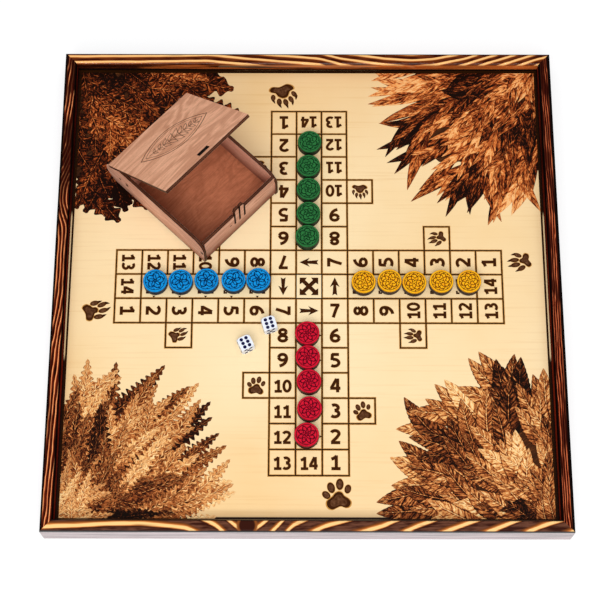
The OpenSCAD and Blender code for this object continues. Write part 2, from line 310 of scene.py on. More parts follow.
def rail_material(node, knots, bands, wave, fray, scorch, rim, tones, gold=0.22, fringe=0.3, glow=0.6,
                  knot=None, charred=None, arris=1.0, foot=-10.5, lean=0.0, coat=(0.04, 0.0, 1.4)):
    """Scorched softwood under gloss varnish: dark, with golden streaks of hard grain."""
    pale, middle, dark, ember, side_dark, side_pale = (rgb(*tone) for tone in tones)
    top_coat, side_coat, coat_index = coat
    s = Shader(f"{node}_wood", roughness=0.4, specular=0.0, coat_roughness=0.08, coat_index=coat_index)
    x, y, z = s.split(s.place)
    along, across = (x, y) if node in ("rail_front", "rail_back") else (y, x)
    along = s.times(along, 1 / MM)
    out = s.times(s.minus(s.abs(across), INNER), 1 / MM)
    down = s.times(s.minus(z, RAIL_TOP), 1 / MM)
    local = s.join(along, out, down)
    from_middle = s.minus(out, RAIL / 2 / MM)
    wander = s.grain(local, (0.03, 0.1, 0.05), 2.0)
    flow = s.add(s.times(from_middle, bands), s.times(down, 0.05), s.times(s.minus(wander, 0.5), wave),
                 s.through(along, knots, 7.0))
    fibre = s.grain(local, (0.03, 1.7, 0.6), 4.0, 0.65)
    value = s.add(s.math("FRACT", flow), s.times(s.minus(fibre, 0.5), fray))
    low, high = 0.5 - gold / 2, 0.5 + gold / 2
    red = tuple(0.35 * m + 0.65 * d for m, d in zip(middle, dark))
    wood = s.ramp(value, (low - fringe, dark), (low - 0.35 * fringe, red), (low, middle),
                         (low + 0.2 * gold, pale), (high - 0.15 * gold, pale), (high, middle),
                         (high + 0.25 * fringe, dark))
    patch = s.grain(local, (0.02, 0.12, 0.1), 2.0)
    warm = s.grain(local, (0.045, 0.35, 0.1), 3.0, 0.6)
    between = s.most(s.step(value, low - 0.6 * fringe, low - fringe), s.step(value, high, high + fringe))
    wood = s.mix(s.times(between, s.step(warm, 0.38, 0.62), glow), wood, ember)
    if knot:
        place, length, width = knot
        far = s.length(s.join(s.times(s.minus(along, place), 1 / length), s.times(from_middle, 1 / width)))
        wood = s.mix(s.step(far, 1.3, 1.05), wood, red)
        wood = s.mix(s.step(far, 1.0, 0.8), wood, dark)
    hidden = s.times(s.step(patch, 0.41 + 0.12 * scorch, 0.31 + 0.12 * scorch), 0.3 + 0.65 * scorch)
    if charred:
        hidden = s.most(hidden, s.times(s.step(along, *charred), s.step(patch, 0.6, 0.5), 0.95))
    wood = s.mix(hidden, wood, s.tint(dark, ember, 0.7, fibre, 0.45, 0.75))
    slow = s.noise(s.join(s.times(along, 0.013), s.times(down, 0.24), 3.7), 1.0, 3.0, 0.6)
    sheer = s.mix(s.step(s.add(slow, s.times(along, lean)), 0.36, 0.62), side_dark, side_pale)
    wood = s.mix(s.step(down, -1.5, -4.0), wood, sheer)
    # The rim is burnt; the inner edge is only darkened; the dark at the inner foot is painted shade where the
    # rail meets the panel
    edges = s.times(s.most(s.step(out, rim, rim + 1.0), s.step(out, arris + 1.0, arris)),
                    s.step(down, -4.0, -2.0))
    painted_foot_shade = s.times(s.step(down, foot, foot - 2.0), s.step(out, 1.0, 0.0))
    wood = s.mix(s.most(edges, painted_foot_shade), wood, rgb(12, 5, 4))
    s.bump(fibre, 0.06 * MM, 0.35)
    steep = s.step(s.split(s.normal)[2], 0.86, 0.72)
    s.set("Coat Weight", s.math("MULTIPLY_ADD", steep, side_coat - top_coat, top_coat))
    return s.colour(wood)


def burnt_material():
    """Scorched marks: dark brown with faint fibres."""
    s = Shader("burnt_mark", roughness=0.55)
    fibre = s.grain(s.place, (60, 900, 1), 3.0, 0.6)
    value = s.add(s.times(fibre, 0.6), s.times(s.noise(s.place, 240.0), 0.4))
    s.bump(fibre, 0.03 * MM, 0.4)
    return s.colour(s.ramp(value, (0.3, rgb(36, 12, 0)), (0.7, rgb(74, 36, 8))))


def scorched_material():
    """Wood that is browned beside a burnt mark."""
    s = Shader("scorched_border")
    cloud = s.step(s.noise(s.place, 300.0), 0.35, 0.65)
    return s.colour(s.mix(cloud, rgb(212, 157, 82), rgb(186, 126, 54)))


def worn_material():
    """The paler middle of broad burnt marks."""
    s = Shader("burnt_middle", roughness=0.6)
    cloud = s.noise(s.place, 420.0, 3.0, 0.6)
    return s.colour(s.ramp(cloud, (0.3, rgb(60, 30, 12)), (0.55, rgb(92, 56, 32)), (0.75, rgb(120, 84, 60))))


def leaf_material():
    """Leaves burnt in tones: ribs, side veins and fine hatching that follows them."""
    s = Shader("burnt_leaf")
    along, side, _ = s.split(s.new("UVMap", uv_map="leaf").outputs[0])
    tone, veins = (s.new("Attribute", attribute_name=key).outputs["Fac"] for key in ("tone", "veins"))
    across = s.minus(s.times(side, 2.0), 1.0)
    out = s.abs(across)
    rib = s.times(s.minus(along, s.times(out, 0.15)), veins)
    vein = s.step(s.math("PINGPONG", rib, 0.5), 0.02, 0.14)
    strand = s.grain(s.join(rib, across, tone), (3.2, 1.3, 40.0), 4.0, 0.75)
    hair = s.grain(s.place, (420, 420, 1), 2.0, 0.6)
    value = s.add(s.times(strand, 2.7), s.times(hair, 0.6), s.times(tone, 1.15), -2.17,
                  s.times(s.math("FRACT", rib), 0.16))
    value = s.times(value, s.add(s.times(vein, 0.4), 0.6), s.add(s.times(s.step(along, 0.0, 0.55), 0.5), 0.5))
    value = s.add(value, s.times(s.step(out, 0.25, 0.05), -0.2), s.times(s.step(out, 0.05, 0.02), 0.5),
                  s.times(s.step(out, 0.85, 0.98), -0.35))
    shades = s.ramp(value, (0.0, rgb(18, 6, 2)), (0.13, rgb(58, 22, 9)), (0.29, rgb(126, 60, 26)),
                           (0.46, rgb(190, 109, 54)), (0.63, rgb(234, 161, 91)), (0.8, rgb(248, 202, 132)),
                           (1.0, rgb(250, 222, 168)))
    rear = s.step(s.split(s.place)[1], -0.05, 0.08)
    return s.colour(s.mix(rear, shades, (1.0, 0.74, 0.6, 1), "MULTIPLY"))


def shade_material():
    """The scorched ground behind the leaves."""
    s = Shader("burnt_ground")
    hatch = s.grain(s.turned(s.place, 0.6), (90, 700, 1), 3.0, 0.7)
    value = s.add(s.times(hatch, 0.7), s.times(s.noise(s.place, 30.0, 3.0, 0.6), 0.3))
    return s.colour(s.ramp(value, (0.35, rgb(34, 18, 9)), (0.55, rgb(70, 36, 16)), (0.75, rgb(128, 74, 34))))


def token_material(colour, paint, worn, side_dark, side_pale):
    """Paint on the top face and its chamfer, scorched wood on the side."""
    s = Shader(f"token_{colour}_paint", specular=0.1)
    z, up = s.split(s.place)[2], s.split(s.normal)[2]
    mottle = s.noise(s.place, 300.0, 4.0, 0.65)
    painted = s.mix(s.step(mottle, 0.38, 0.7), paint, worn)
    fibre = s.grain(s.place, (200, 200, 1500), 3.0, 0.6)
    side = s.ramp(fibre, (0.3, side_dark), (0.7, side_pale))
    side = s.tint(side, paint, 0.6, z, TOKEN_TOP - 2.2 * MM, TOKEN_TOP - 0.6 * MM)
    ring = s.times(s.step(z, TOKEN_TOP - 0.1 * MM, TOKEN_TOP - 0.3 * MM), s.step(up, 0.5, 0.9))
    top = s.mix(s.times(ring, 0.8), painted, side_dark)
    s.bump(mottle, 0.08 * MM, 0.5)
    return s.colour(s.mix(s.step(up, 0.3, 0.6), side, top))


def line_material(name, colour):
    """Engraved lines on a token or the lid."""
    s = Shader(name, roughness=0.6)
    return s.colour(s.mix(s.times(s.noise(s.place, 900.0, 2.0, 0.6), 0.5), colour, rgb(0, 0, 0)))


def die_material(node):
    """White plastic; whatever lies under the die's flat faces and its round corners is a pip."""
    low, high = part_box(node)
    half = (high.z - low.z) / 2
    ball = half * DIE_BALL
    s = Shader(f"{node}_plastic", roughness=0.18, specular=0.1)
    local = s.turned(s.place, radians(DIE_TURN[node]), (low + high) / 2)
    flat = s.most(*s.split(s.vector("ABSOLUTE", local)))
    dent = s.times(s.step(flat, half - 0.01 * MM, half - 0.03 * MM),
                   s.step(s.length(local), ball - 0.04 * MM, ball - 0.09 * MM))
    white = s.mix(s.noise(s.place, 300.0), rgb(224, 232, 247), rgb(243, 247, 253))
    return s.colour(s.mix(dent, white, rgb(0, 4, 60)))


WALL_TONES = (rgb(240, 188, 162), rgb(190, 124, 98))
# Half width of the latch, within which the cut is black
LATCH_ASIDE = (7.6 * MM, 7.2 * MM)


def ply_material(name, plane, middle, figure_scale, streaks, painted_shade=None, slit=None, tones=WALL_TONES):
    """Laser-cut plywood. plane is the sheet's normal and middle its middle plane, in the box's own frame.
    The sixth argument gives painted shade: a direction, how far along it the sheet is darkened, how much and
    to which tone. slit is where the cut is black, burnt and darkened further as painted shade inside the
    slits: a direction, place and half length. tones are a pale and a deep one."""
    s = Shader(name, specular=0.1)
    pale, deep = tones
    local = s.turned(s.place, BOX_TURN, BOX_AT)
    fibre = s.grain(local, (36, 900, 900) if plane[0] == 0 else (900, 36, 900), 3.0, 0.65)
    figure = s.grain(local, figure_scale, 3.0, 0.5, 0.8)
    rings = s.math("PINGPONG", s.times(figure, 7.0), 0.5)
    wood = s.tint(pale, deep, streaks, rings, 0.0, 0.5)
    wood = s.tint(wood, deep, 0.45, fibre, 0.42, 0.7)
    wood = s.tint(wood, deep, 0.25, s.noise(local, 480.0, 2.0, 0.7), 0.48, 0.72)
    if painted_shade:
        run, reach, depth, tone = painted_shade
        # Darker towards the start of the run, the sheet's foot or the floor's side by the left wall: painted
        # shade
        place = s.dot(local, run)
        wood = s.tint(wood, tone, depth, place, reach, 0.0)
        # A dark line where the run starts, where the sheet meets the part below or beside it: painted contact
        # shadow
        wood = s.mix(s.step(place, 1.3 * MM, 0.6 * MM), wood, rgb(44, 18, 11))
    off = s.abs(s.minus(s.dot(local, plane), middle))
    bare = s.ramp(fibre, (0.25, rgb(58, 27, 16)), (0.75, rgb(104, 60, 38)))
    cut = s.mix(s.step(off, 0.5 * MM, 1.2 * MM), bare, rgb(30, 13, 8))
    # The cut near the slits is black: burnt edges, darkened further as painted shade inside the narrow slits
    if slit:
        run, place, half = slit
        near = s.step(s.abs(s.minus(s.dot(local, run), place)), half + 0.3 * MM, half)
        aside = s.step(s.abs(s.minus(s.split(local)[0], BOX_WIDTH / 2)), *LATCH_ASIDE)
        cut = s.mix(s.times(near, aside), cut, rgb(14, 5, 2))
    face = s.step(off, PLY / 2 - 0.06 * MM, PLY / 2 - 0.02 * MM)
    s.bump(fibre, 0.05 * MM, 0.4)
    return s.colour(s.mix(face, cut, wood))


def steel_material():
    s = Shader("nail_steel", roughness=0.35, specular=0.5)
    s.set("Metallic", 1.0)
    scratch = s.grain(s.place, (300, 300, 3000), 2.0)
    return s.colour(s.mix(scratch, rgb(150, 152, 156), rgb(196, 198, 202)))


def dress(node, material):
    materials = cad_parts[node].data.materials
    materials.clear()
    materials.append(material)


# Flat burnt marks

def add_object(name, data):
    obj = bpy.data.objects.new(name, data)
    scene.collection.objects.link(obj)
    return obj


def add_mesh(name, verts, faces, material):
    mesh = bpy.data.meshes.new(name)
    mesh.from_pydata(verts, [], faces)
    mesh.materials.append(material)
    return add_object(name, mesh)


class Marks:
    """Flat polygons that lie on a face, gathered into one piece."""

    def __init__(self, height):
        self.verts, self.faces, self.height, self.count = [], [], height, 0

    def level(self):
        """The next shape's height."""
        self.count += 1
        return self.height + MARK_STEP * (self.count % LEVELS)

    def polygon(self, points):
        first, z = len(self.verts), self.level()
        self.verts += [(x, y, z) for x, y in points]
        self.faces.append(list(range(first, first + len(points))))

    def ribbon(self, points, width, closed=False):
        """A line of even width along the points, in one mesh without gaps at its bends."""
        count, first, z = len(points), len(self.verts), self.level()
        points = [Vector(point) for point in points]
        before, after = points[-1:], points[:1]
        if not closed:
            before, after = [points[0] * 2 - points[1]], [points[-1] * 2 - points[-2]]
        for last, here, following in zip(before + points, points, points[1:] + after):
            one, two = (here - last).normalized(), (following - here).normalized()
            run = (one + two).normalized()
            side = Vector((-run.y, run.x)) * (width / 2 / max(SHARPEST, abs(run.dot(one))))
            self.verts += [(*(here - side), z), (*(here + side), z)]
        for i in range(count if closed else count - 1):
            a, b = first + 2 * i, first + 2 * ((i + 1) % count)
            self.faces.append([a, b, b + 1, a + 1])

    def move(self, place, first=0):
        """Move each point from the first one on to where place(x, y, z) says."""
        self.verts[first:] = [tuple(place(*v)) for v in self.verts[first:]]

    def piece(self, name, material, body="board", slot="pale_plywood"):
        obj = add_mesh(name, self.verts, self.faces, material)
        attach(obj, body)
        return obj


def arc(x, y, width, height, start, end, count=12):
    """Points along an ellipse from one angle to another, in degrees."""
    angles = [radians(start + (end - start) * i / count) for i in range(count + 1)]
    return [(x + width / 2 * cos(a), y + height / 2 * sin(a)) for a in angles]


def ellipse(x, y, width, height, turn=0.0, count=28):
    """Points of a closed ellipse whose axes are turned by turn degrees."""
    return placed(arc(0, 0, width, height, 0, 360, count)[:-1], (x, y), turn)


def smooth(points, steps=5):
    """A closed smooth curve through the points."""
    count = len(points)
    result = []
    for i in range(count):
        p0, p1, p2, p3 = (Vector(points[(i + k - 1) % count]) for k in range(4))
        for j in range(steps):
            t = j / steps
            result.append(tuple(0.5 * (2 * p1 + (p2 - p0) * t + (2 * p0 - 5 * p1 + 4 * p2 - p3) * t * t
                                       + (3 * p1 - p0 - 3 * p2 + p3) * t ** 3)))
    return result


def placed(points, at, turn, scale=1.0):
    """The points scaled, turned by degrees and moved."""
    c, s = cos(radians(turn)), sin(radians(turn))
    return [(at[0] + scale * (x * c - y * s), at[1] + scale * (x * s + y * c)) for x, y in points]


def on_arm(x, y, arm):
    """Place, in metres, of a point that is given in squares on the bottom arm."""
    return placed([(x * CELL, y * CELL)], TRACK, ARM_TURNS[arm])[0]


# Strokes of plain digits, 0.66 wide and 1 high, as lines along the middle of each stroke
DIGIT_WIDTH = 0.66
DIGITS = {
    "0": [arc(0.33, 0.5, 0.5, 0.84, 0, 360, 24)],
    "1": [[(0.06, 0.74), (0.22, 0.8), (0.4, 0.95)], [(0.37, 0), (0.37, 1.0)],
          [(0.06, 0.075), (0.64, 0.075)]],
    "2": [arc(0.3, 0.71, 0.5, 0.42, 160, -20) + [(0.43, 0.46), (0.1, 0.1)],
          [(0.04, 0.075), (0.63, 0.075)]],
    "3": [arc(0.27, 0.73, 0.48, 0.39, 130, -90), arc(0.28, 0.295, 0.54, 0.44, 90, -140)],
    "4": [[(0.42, 0.98), (0.08, 0.31)], [(0, 0.295), (0.66, 0.295)], [(0.48, 0), (0.48, 1.0)]],
    "5": [[(0.12, 0.925), (0.58, 0.925)], [(0.16, 0.98), (0.13, 0.5)],
          arc(0.27, 0.32, 0.6, 0.5, 105, -130)],
    "6": [arc(0.34, 0.29, 0.49, 0.43, 0, 360, 20), arc(0.6, 0.36, 1.03, 1.12, 97, 187, 10)],
    "7": [[(0.03, 0.925), (0.63, 0.925)], [(0.56, 0.96), (0.4, 0.6), (0.22, 0)]],
    "8": [arc(0.33, 0.74, 0.42, 0.36, 0, 360, 18), arc(0.33, 0.275, 0.5, 0.4, 0, 360, 20)],
}
DIGITS["9"] = [[(0.66 - x, 1 - y) for x, y in line] for line in DIGITS["6"]]
BORDER = 0.5 * MM
# Height, widening, gap and stroke of the digits of one-digit and two-digit numbers
NUMBER_STYLES = {1: (12.6 * MM, 1.08, 0.0, 2.6 * MM), 2: (11.2 * MM, 1.0, 0.04, 2.3 * MM)}


def make_numbers(material, border_material):
    """8 to 13 down the left of each arm, 6 to 1 down its right, 14 at its end and 7 beside the middle."""
    places = {14: (0, -7), 7: (1, -1)}
    for k in range(6):
        places[8 + k] = (-1, -2 - k)
        places[6 - k] = (1, -2 - k)
    marks, borders = Marks(TOP + MARK_LIFT), Marks(TOP + SCORCH_LIFT)
    for arm, turn in ARM_TURNS.items():
        for number, (x, y) in places.items():
            text = str(number)
            height, widening, gap, stroke = NUMBER_STYLES[len(text)]
            width = DIGIT_WIDTH * widening
            foot = placed([(0, -NUMBER_STYLES[1][0] / 2)], on_arm(x, y, arm), turn)[0]
            for i, digit in enumerate(text):
                left = (i - (len(text) - 1) / 2) * (width + gap) - width / 2
                for line in DIGITS[digit]:
                    points = placed([(left + px * widening, py) for px, py in line], foot, turn, height)
                    marks.ribbon(points, stroke)
                    borders.ribbon(points, stroke + BORDER)
    marks.piece("track_numbers", material)
    borders.piece("number_borders", border_material)


# Fields of an arm that have a border inside their grooves: left, right, rear and front edge in squares
FIELDS = [(-0.5, 0.5, -1.5, -6.5), (-0.5, 0.5, -6.5, -7.5), (-0.5, 0.5, -0.5, -1.5), (0.5, 1.5, -0.5, -1.5),
          (-2.5, -1.5, -3.5, -4.5), (1.5, 2.5, -4.5, -5.5)]
FIELDS += [(left, left + 1, -1.5 - k, -2.5 - k) for left in (-1.5, 0.5) for k in range(6)]
# The outside of an arm, from its right-hand foot to its left-hand one
ARM_OUTLINE = [(1.5, -1.5), (1.5, -4.5), (2.5, -4.5), (2.5, -5.5), (1.5, -5.5), (1.5, -7.5), (-1.5, -7.5),
               (-1.5, -4.5), (-2.5, -4.5), (-2.5, -3.5), (-1.5, -3.5)]


def make_line_borders(material):
    """Scorched wood beside the track's grooves: a thin frame in each field and one around them all."""
    marks = Marks(TOP + SCORCH_LIFT)
    aside = (GROOVE + BORDER) / 2
    d = aside / CELL
    for arm in ARM_TURNS:
        for left, right, rear, front in FIELDS:
            left, right, rear, front = left + d, right - d, rear - d, front + d
            corners = [(left, front), (right, front), (right, rear), (left, rear)]
            marks.ribbon([on_arm(x, y, arm) for x, y in corners], BORDER, closed=True)
    arms = ("bottom", "left", "top", "right")
    around = [Vector(on_arm(x, y, arm)) for arm in arms for x, y in ARM_OUTLINE]
    moved = []
    for before, here, after in zip([around[-1]] + around, around, around[1:] + around[:1]):
        one, two = (here - before).normalized(), (after - here).normalized()
        moved.append(here + Vector((-one.y - two.y, one.x + two.x)) * aside)
    marks.ribbon([tuple(p) for p in moved], BORDER, closed=True)
    marks.piece("line_borders", material)


ARROW = [(0.37, 0), (-0.03, 0.19), (0.06, 0.055), (-0.3, 0.085), (-0.37, 0.1), (-0.31, 0),
         (-0.37, -0.1), (-0.3, -0.085), (0.06, -0.055), (-0.03, -0.19)]
CORNER_ARROW = [(0.36, 0.36), (0.08, 0.36), (0.15, 0.26), (0, 0.11), (0, 0), (0.11, 0), (0.26, 0.15),
                (0.36, 0.08)]


def make_arrows(material):
    marks = Marks(TOP + MARK_LIFT)
    for arm, turn in ARM_TURNS.items():
        marks.polygon(placed(ARROW, on_arm(0, -1, arm), turn, CELL))
        marks.polygon(placed(CORNER_ARROW, TRACK, turn, CELL))
    marks.piece("track_arrows", material)


START_CORNER = [(0.31, -0.31), (0.31, -0.17), (0.24, -0.17), (0.24, -0.24), (0.17, -0.24), (0.17, -0.31)]
START_TIP = [(0.52, 0), (0.43, 0.07), (0.43, -0.07)]


def make_start_marks(material):
    """Corner brackets and a tip at each token's place, mostly under the tokens."""
    marks = Marks(TOP + MARK_LIFT)
    for arm, arm_turn in ARM_TURNS.items():
        for k in range(TOKENS):
            at = on_arm(0, -2 - k, arm)
            for turn in (0, 90, 180, 270):
                marks.polygon(placed(START_CORNER, at, turn, CELL))
            marks.polygon(placed(START_TIP, at, arm_turn, CELL * 0.92))
    marks.piece("start_marks", material)


# Pads and toes of paw prints, about one unit wide. A toe is (x, y, width, height, lean, its claw's lean)
PADS = {
    "cat": [(-0.3, -0.22), (-0.22, -0.15), (-0.13, -0.07), (-0.07, 0.01), (0, 0.06), (0.09, 0.07),
            (0.17, 0.03), (0.23, -0.06), (0.35, -0.14), (0.42, -0.23), (0.41, -0.34), (0.34, -0.41),
            (0.25, -0.42), (0.12, -0.38), (0.01, -0.42), (-0.12, -0.48), (-0.24, -0.45), (-0.31, -0.34)],
    "dog": [(0.22, -0.13), (0.29, -0.17), (0.31, -0.24), (0.27, -0.32), (0.18, -0.34), (0.08, -0.32),
            (0.01, -0.36), (-0.06, -0.41), (-0.14, -0.4), (-0.19, -0.32), (-0.15, -0.24), (-0.07, -0.16),
            (-0.03, -0.04), (0.04, 0), (0.1, -0.04), (0.14, -0.11)],
    "wolf": [(-0.09, -0.44), (-0.17, -0.41), (-0.22, -0.32), (-0.19, -0.21), (-0.13, -0.12), (-0.13, -0.03),
             (-0.07, 0.05), (0.03, 0.03), (0.08, -0.05), (0.2, -0.08), (0.29, -0.13), (0.31, -0.21),
             (0.27, -0.3), (0.13, -0.32), (0.03, -0.36)],
    "bear": [(0.44, -0.2), (0.35, -0.31), (0.13, -0.31), (-0.1, -0.42), (-0.27, -0.37), (-0.33, -0.26),
             (-0.2, -0.16), (-0.14, 0.01), (0.01, 0.08), (0.16, 0.02), (0.25, -0.09), (0.39, -0.12)],
}
TOES = {
    "cat": [(-0.33, -0.03, 0.21, 0.28, 48), (-0.18, 0.2, 0.23, 0.34, 17), (0.09, 0.31, 0.23, 0.35, 0),
            (0.34, 0.16, 0.2, 0.28, -14)],
    "dog": [(0.24, 0.05, 0.15, 0.27, -20, 11), (0.06, 0.17, 0.16, 0.31, 4, 18),
            (-0.12, 0.14, 0.17, 0.33, 12, 10), (-0.24, -0.07, 0.17, 0.29, 32, 24)],
    "wolf": [(-0.27, -0.07, 0.16, 0.27, 15, 20), (-0.22, 0.17, 0.15, 0.29, 24, -5),
             (-0.03, 0.22, 0.15, 0.3, 15, 36), (0.18, 0.08, 0.16, 0.3, 9, 25)],
    "bear": [(0.33, 0.07, 0.15, 0.21, 0, 27), (0.13, 0.22, 0.16, 0.24, 4, 31),
             (-0.08, 0.23, 0.16, 0.24, 19, 19), (-0.25, 0.12, 0.15, 0.23, 28, 3),
             (-0.35, -0.07, 0.15, 0.23, 38, -4)],
}
CLAW = [(-0.05, -0.04), (-0.04, 0.05), (-0.005, 0.14), (0.03, 0.05), (0.045, -0.04)]
# Each arm's kind of paw, and the sizes of its small and large prints
PAW_KINDS = {"bottom": ("cat", 17.2 * MM, 27.5 * MM), "right": ("dog", 19.5 * MM, 25.5 * MM),
             "top": ("bear", 17 * MM, 28.5 * MM), "left": ("wolf", 19.5 * MM, 28 * MM)}


def shrunk(points, share):
    """The points drawn together about their middle."""
    x, y = (sum(p[i] for p in points) / len(points) for i in range(2))
    return [(x + (px - x) * share, y + (py - y) * share) for px, py in points]


def paw(marks, middles, borders, kind, at, turn, size):
    shapes = [smooth(PADS[kind])]
    for x, y, width, height, lean, *claw in TOES[kind]:
        shapes.append(ellipse(x, y, width, height, lean))
        if claw:
            root = placed([(0, height * 0.46)], (x, y), lean)[0]
            marks.polygon(placed(placed(CLAW, root, claw[0]), at, turn, size))
    for shape in shapes:
        marks.polygon(placed(shape, at, turn, size))
        middles.polygon(placed(shrunk(shape, 0.7), at, turn, size))
        borders.polygon(placed(shrunk(shape, 1.1), at, turn, size))


def make_paws(material, middle_material, border_material):
    marks, borders = Marks(TOP + MARK_LIFT), Marks(TOP + SCORCH_LIFT)
    middles = Marks(TOP + MARK_LIFT + (LEVELS + 1) * MARK_STEP)
    for arm, (kind, small, large) in PAW_KINDS.items():
        turn = ARM_TURNS[arm]
        for x, y, lean, size in ((-2.01, -4.0, -12, small), (2.01, -5.0, 8, small), (1.04, -8.2, 0, large)):
            paw(marks, middles, borders, kind, on_arm(x, y, arm), turn + lean, size)
    marks.piece("paw_prints", material)
    middles.piece("paw_middles", middle_material)
    borders.piece("paw_borders", border_material)


# Burnt foliage in the corners

EDGE = INNER - 3.0 * MM
LEAF_COLUMNS = 6
LEAF_THINNEST = 0.1 * MM
# A leaf's largest lean and bend in degrees, and its share beyond the ground's edge
LEAN, BEND, OVERHANG = 24, 22, 0.75


class Leaves(Marks):
    """Leaf meshes with coordinates along and across each leaf, gathered into one piece."""

    def __init__(self):
        super().__init__(TOP + LEAF_LIFT)
        self.uvs, self.tones, self.veins = [], [], []

    def add(self, base, heading, length, width, outline, bend, tone, veins, rows):
        """One leaf from its base. outline(t) is how wide it is at t along, as a share of width."""
        first, across = len(self.verts), LEAF_COLUMNS + 1
        x, y = base
        z = self.height + self.count * MARK_STEP
        for i in range(rows + 1):
            half = max(outline(i / rows) * width, LEAF_THINNEST) / 2
            for j in range(across):
                off = (2 * j / LEAF_COLUMNS - 1) * half
                px, py = x - off * sin(heading), y + off * cos(heading)
                self.verts.append((max(-EDGE, min(EDGE, px)), max(-EDGE, min(EDGE, py)), z))
                self.uvs.append((i / rows, j / LEAF_COLUMNS))
            heading += bend / rows
            x += length / rows * cos(heading)
            y += length / rows * sin(heading)
        self.tones += [tone] * (rows + 1) * across
        self.veins += [veins] * (rows + 1) * across
        for i in range(rows):
            for a in range(first + i * across, first + i * across + LEAF_COLUMNS):
                self.faces.append((a, a + across, a + across + 1, a + 1))
        self.count += 1

    def piece(self, name, material):
        mesh = super().piece(name, material).data
        layer = mesh.uv_layers.new(name="leaf")
        for loop in mesh.loops:
            layer.data[loop.index].uv = self.uvs[loop.vertex_index]
        for key, values in (("tone", self.tones), ("veins", self.veins)):
            mesh.attributes.new(key, "FLOAT", "POINT").data.foreach_set("value", values)


def oak(t):
    lobes = 0.72 + 0.28 * cos(2 * pi * 4.5 * t + 2.6)
    return sin(pi * min(1, t * 0.97 + 0.02)) ** 0.55 * lobes


def blade(t):
    return sin(pi * t ** 0.75) ** 0.9


def toothed(t):
    return sin(pi * t ** 0.62) ** 0.8 * (0.88 + 0.12 * (12 * t % 1))


def fern(t):
    return sin(pi * t ** 0.6) ** 0.7 * (0.35 + 0.65 * abs(sin(pi * 13 * t)))


# Each corner: its side in X and Y; outline, length and width of its leaves, in mm, and their spacing; reach
# in mm along the front or back rail, along the side rail and across the corner; darkest and palest tone,
# veins on a leaf, rows of its mesh
CORNERS = {
    "back_left": (-1, 1, oak, 46, 24, 0.5, 138, 140, 160, 0.19, 0.84, 7, 30),
    "back_right": (1, 1, blade, 58, 11, 0.62, 146, 142, 168, 0.17, 1.25, 3, 24),
    "front_left": (-1, -1, fern, 66, 21, 0.55, 140, 122, 160, 0.24, 1.3, 13, 60),
    "front_right": (1, -1, toothed, 52, 22, 0.52, 146, 138, 158, 0.3, 1.18, 8, 36),
}
CORNER_ROWS = (1.0, 0.86, 0.72, 0.58, 0.45, 0.32, 0.2)


def make_foliage(material, ground):
    """Rows of leaves that spread from each corner, the outer rows below the inner ones."""
    rng = random.Random(7)
    for name, style in CORNERS.items():
        side_x, side_y, outline, length, width, gap, *reaches, dark, pale, veins, rows = style
        reach_x, reach_y, reach_across = reaches

        def reach(angle):
            """Distance of the mass's edge from the corner; angle runs from the end rail to the side rail."""
            t = angle / 90
            square = reach_x * (1 - t) + reach_y * t
            bulge = sin(radians(2 * angle)) * (reach_across - (reach_x + reach_y) / 2)
            waves = 5 * sin(angle * 0.19 + side_x) + 4 * sin(angle * 0.43 + side_y)
            return (square + bulge + waves) * MM

        def spot(angle, radius):
            a = radians(angle)
            return (side_x * (EDGE - radius * cos(a)), side_y * (EDGE - radius * sin(a)))

        marks = Marks(TOP + GROUND_LIFT)
        angles = [90 * i / 40 for i in range(41)]
        rim = [spot(angle, reach(angle) - length * MM * OVERHANG) for angle in angles]
        marks.polygon([spot(0, 0)] + rim)
        marks.piece(f"ground_{name}", ground)
        leaves = Leaves()
        for row, share in enumerate(CORNER_ROWS):
            count = max(3, round(reach(45) * share * pi / 2 / (width * gap * MM)))
            for k in range(count):
                angle = 90 * (k + 0.5 + rng.uniform(-0.25, 0.25)) / count
                size = rng.uniform(0.85, 1.12) * (1 - 0.04 * row) * MM
                lean = rng.uniform(-LEAN, LEAN)
                x, y = spot(angle, reach(angle) * share * rng.uniform(0.95, 1.02))
                a = radians(angle)
                run = atan2(-side_y * sin(a), -side_x * cos(a)) + radians(lean)
                base = (x - length * size * cos(run), y - length * size * sin(run))
                drift = 0.5 + 0.5 * sin(x * 52 + side_y) * sin(y * 47 + 2 * side_x)
                tone = dark + (pale - dark) * (0.65 * drift + 0.35 * rng.random())
                bend = radians(rng.uniform(-BEND, BEND))
                leaves.add(base, run, length * size, width * size, outline, bend, tone, veins, rows)
        leaves.piece(f"foliage_{name}", material)


# Tokens

def closed_wave(petals, low, high, sharp, count=120):
    """A closed curve around the middle whose radius swings between low and high."""
    points = []
    for a in (2 * pi * i / count for i in range(count)):
        radius = low + (high - low) * (0.5 + 0.5 * cos(petals * a)) ** sharp
        points.append((radius * cos(a), radius * sin(a)))
    return points


# Curves and strokes of each colour's rosette, in radii of the token: (petals, low, high, sharpness)
ROSETTES = {
    "green": ([(6, 0.5, 0.68, 0.5), (6, 0.22, 0.4, 0.6), (3, 0.05, 0.16, 1.0)], 12),
    "red": ([(8, 0.44, 0.7, 0.6), (8, 0.26, 0.44, 1.4), (5, 0.08, 0.2, 0.7)], 8),
    "blue": ([(5, 0.46, 0.7, 0.5), (5, 0.2, 0.52, 1.2), (5, 0.06, 0.18, 1.0)], 10),
    "yellow": ([(7, 0.52, 0.7, 0.4), (7, 0.32, 0.52, 0.8), (4, 0.1, 0.26, 0.6)], 14),
}
STROKES = ([(0.6, 0), (0.78, 0.03)], [(0.71, 0), (0.755, 0.05), (0.79, 0)])
LINE, FIRST_LINE = 0.7 * MM, 0.85 * MM
# Turns between tokens and between curves, in degrees
TOKEN_TURN, CURVE_TURN = 31, 17


